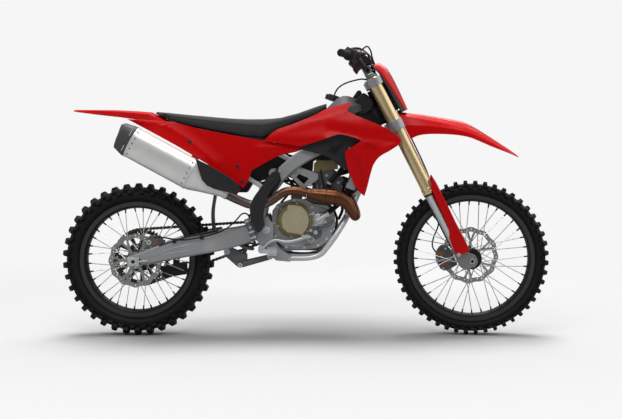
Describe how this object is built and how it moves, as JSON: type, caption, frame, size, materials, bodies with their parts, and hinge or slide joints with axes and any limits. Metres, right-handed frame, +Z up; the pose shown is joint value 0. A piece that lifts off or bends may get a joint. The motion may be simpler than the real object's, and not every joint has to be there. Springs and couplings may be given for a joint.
{
  "type": "motocross bike",
  "caption": "Off-road racing motorcycle with knobbly tyres, long-travel fork, open engine and plastic bodywork; its wheels and steering turn.",
  "frame": {"origin": "low point of the seat's top, where the rider sits, on the centre plane", "axes": "+X forwards, +Y to the rider's left, +Z up"},
  "size_m": [2.1805, 0.8117, 1.2812],
  "materials": {
    "frame_alloy": "satin cast",
    "cradle_alloy": "satin",
    "engine_alloy": "cast",
    "cover_bronze": "satin bronze coating",
    "gold_tube": "gold anodised",
    "slider_chrome": "polished",
    "axle_steel": "satin",
    "red_plastic": "gloss moulded",
    "black_plastic": "matte moulded",
    "tank_plastic": "satin moulded",
    "black_rubber": "matte",
    "tyre_rubber": "matte",
    "black_rim": "satin black anodised",
    "hub_alloy": "dark anodised",
    "copper_pipe": "heat coloured",
    "can_steel": "satin",
    "cap_grey": "satin",
    "seat_vinyl": "grained vinyl",
    "disc_steel": "ground",
    "sprocket_bronze": "hard anodised",
    "chain_steel": "plated",
    "bar_alloy": "satin anodised",
    "radiator_alloy": "bare"
  },
  "bodies": {
    "chassis": {"main_frame": "frame_alloy", "lower_cradle": "cradle_alloy", "engine_mounts": "frame_alloy", "subframe": "cradle_alloy", "engine_cases": "engine_alloy", "cylinder": "engine_alloy", "engine_covers": "cover_bronze", "coolant_hoses": "black_rubber", "radiators": "radiator_alloy", "radiator_louvres": "black_plastic", "exhaust_header": "copper_pipe", "muffler": "can_steel", "muffler_cap": "cap_grey", "exhaust_shield": "black_plastic", "fuel_tank": "tank_plastic", "filler_cap": "black_plastic", "vent_hose": "black_rubber", "shrouds": "red_plastic", "seat": "seat_vinyl", "side_panels": "red_plastic", "airbox": "black_plastic", "rear_fender": "red_plastic", "mud_flap": "black_rubber", "frame_guards": "black_plastic", "swingarm": "frame_alloy", "rear_axle": "axle_steel", "pivot_bolt": "axle_steel", "chain": "chain_steel", "chain_guides": "black_plastic", "shock_absorber": "hub_alloy", "shock_link": "hub_alloy", "rear_brake": "hub_alloy", "foot_levers": "bar_alloy", "footpegs": "axle_steel"},
    "steering": {"top_clamp": "hub_alloy", "bottom_clamp": "hub_alloy", "fork_tubes": "gold_tube", "fork_lowers": "slider_chrome", "fork_guards": "red_plastic", "front_axle": "axle_steel", "front_caliper": "hub_alloy", "front_fender": "red_plastic", "number_plate": "red_plastic", "handlebar": "bar_alloy", "bar_pad": "black_rubber", "grips": "black_rubber", "bar_controls": "black_plastic", "brake_hose": "black_rubber"},
    "front_wheel": {"front_tyre": "tyre_rubber", "front_rim": "black_rim", "front_hub": "hub_alloy", "front_disc": "disc_steel"},
    "rear_wheel": {"rear_tyre": "tyre_rubber", "rear_rim": "black_rim", "rear_hub": "hub_alloy", "rear_disc": "disc_steel", "rear_sprocket": "sprocket_bronze"}
  },
  "joints": [
    {"name": "steering_turn", "type": "hinge", "parent": "chassis", "child": "steering", "pos_m": [0.52255, 0, 0.06002], "axis": [-0.4473, 0, 0.8944], "range_deg": [-37, 47]},
    {"name": "front_wheel_spin", "type": "hinge", "parent": "steering", "child": "front_wheel", "pos_m": [0.92581, -0.00488, -0.6216], "axis": [0.078, 0.9962, 0.039], "continuous": true},
    {"name": "rear_wheel_spin", "type": "hinge", "parent": "chassis", "child": "rear_wheel", "pos_m": [-0.568, 0, -0.628], "axis": [0, 1, 0], "continuous": true}
  ]
}
